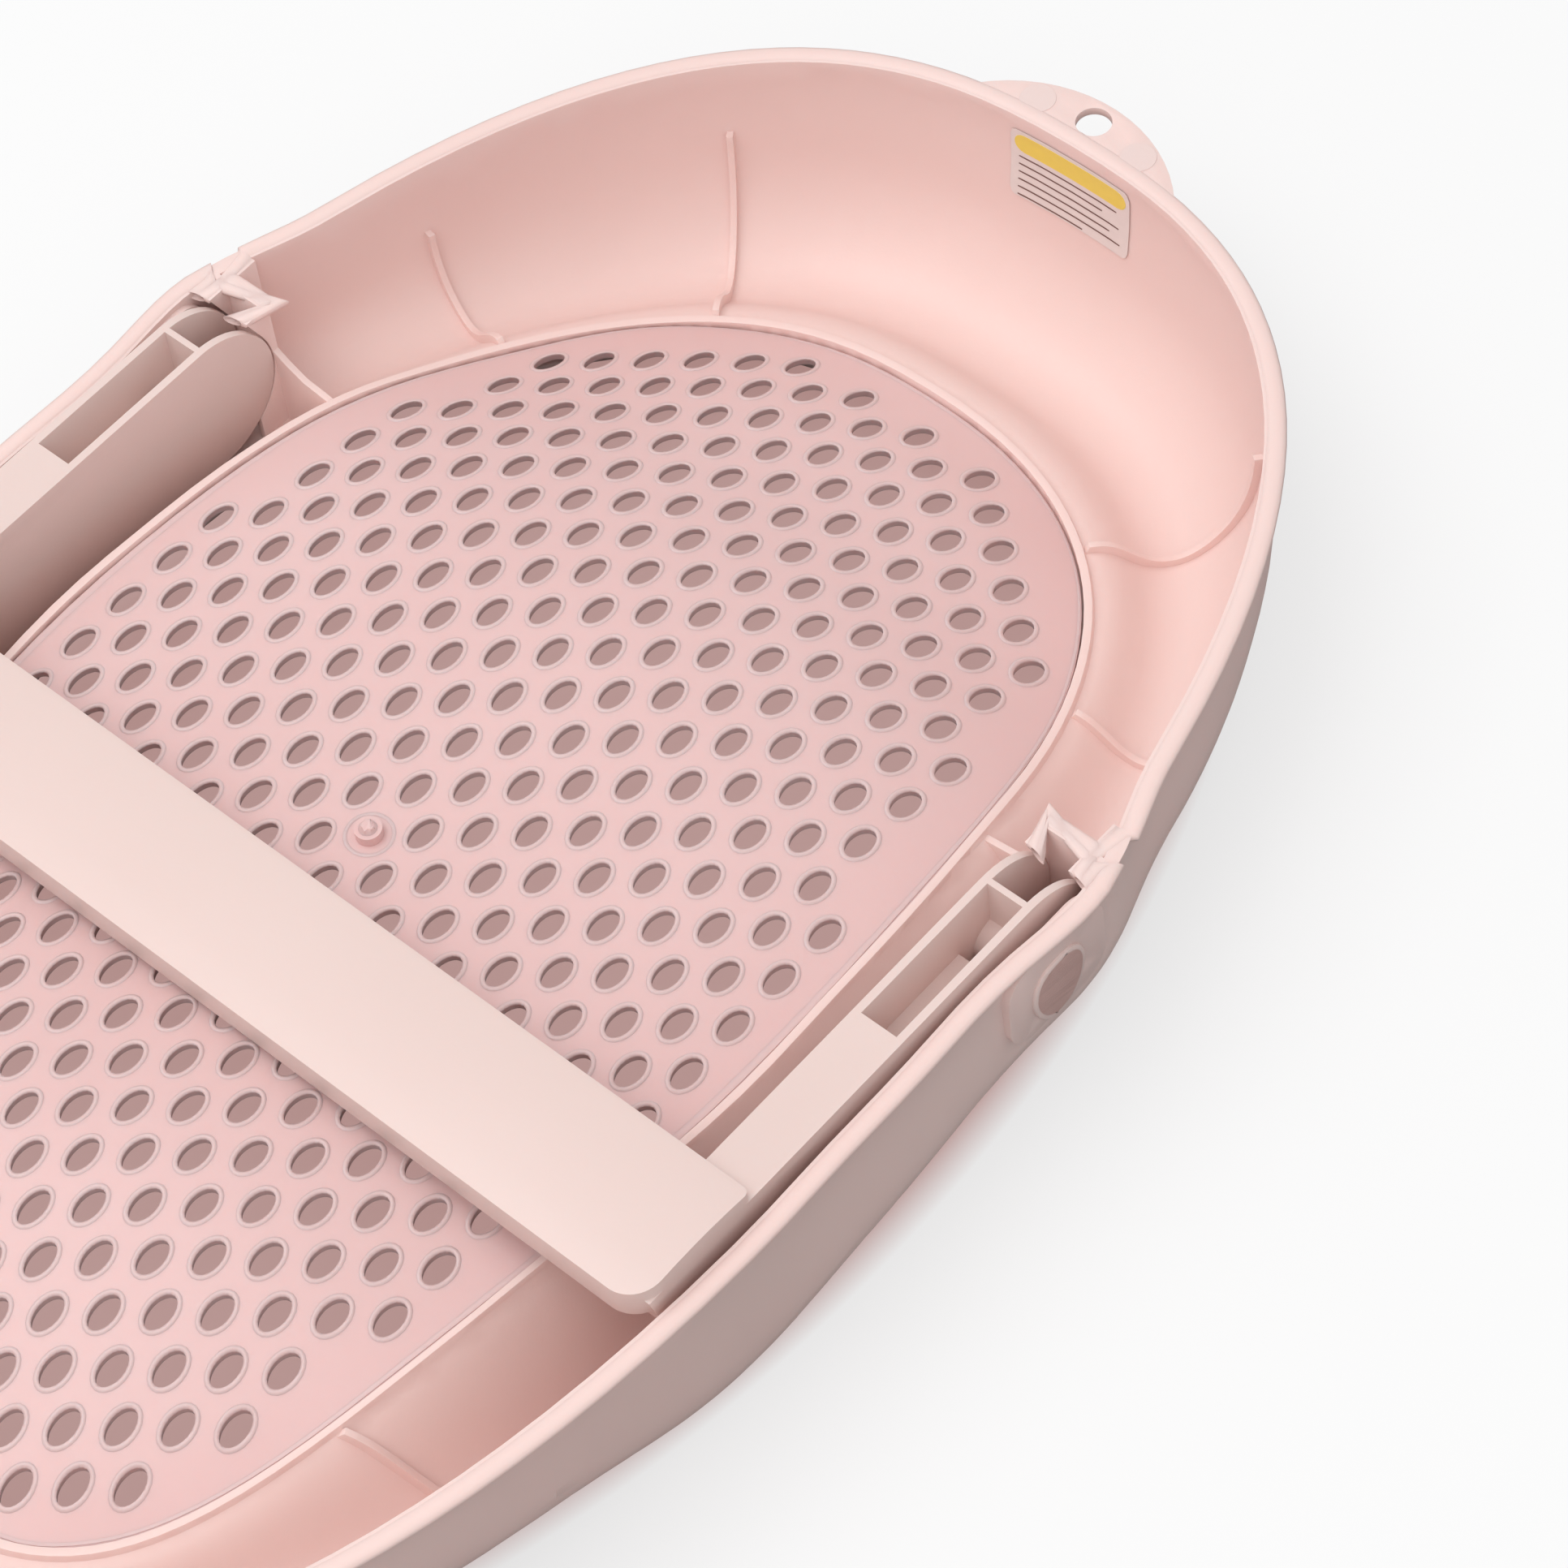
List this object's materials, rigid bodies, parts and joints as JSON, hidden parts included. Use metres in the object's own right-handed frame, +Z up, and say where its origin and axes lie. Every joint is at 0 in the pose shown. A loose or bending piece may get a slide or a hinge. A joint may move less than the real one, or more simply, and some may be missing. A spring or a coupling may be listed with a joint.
{
  "type": "baby bath seat",
  "caption": "Reclined baby bath seat with a perforated soft panel, a moulded shell and a fold-flat U-shaped stand, stored face down.",
  "frame": {"origin": "middle of the seat's overall length, on the centre plane, on the surface it lies on face down", "axes": "+X towards the head end with the hanging tab, +Y across the seat, +Z up, away from the surface it lies on"},
  "size_m": [0.55, 0.315, 0.0764],
  "materials": {
    "shell_plastic": "satin injection-moulded polypropylene",
    "panel_elastomer": "smooth soft elastomer with a slight gloss",
    "stand_plastic": "satin injection-moulded polypropylene",
    "label_film": "glossy printed film"
  },
  "bodies": {
    "seat": {"seat_shell": "shell_plastic", "seat_panel": "panel_elastomer", "label": "label_film"},
    "stand": {"folding_stand": "stand_plastic"}
  },
  "joints": [
    {"name": "stand_fold", "type": "hinge", "parent": "seat", "child": "stand", "pos_m": [0.061, 0, 0.04825], "axis": [0, 1, 0], "range_deg": [0, 65]}
  ]
}
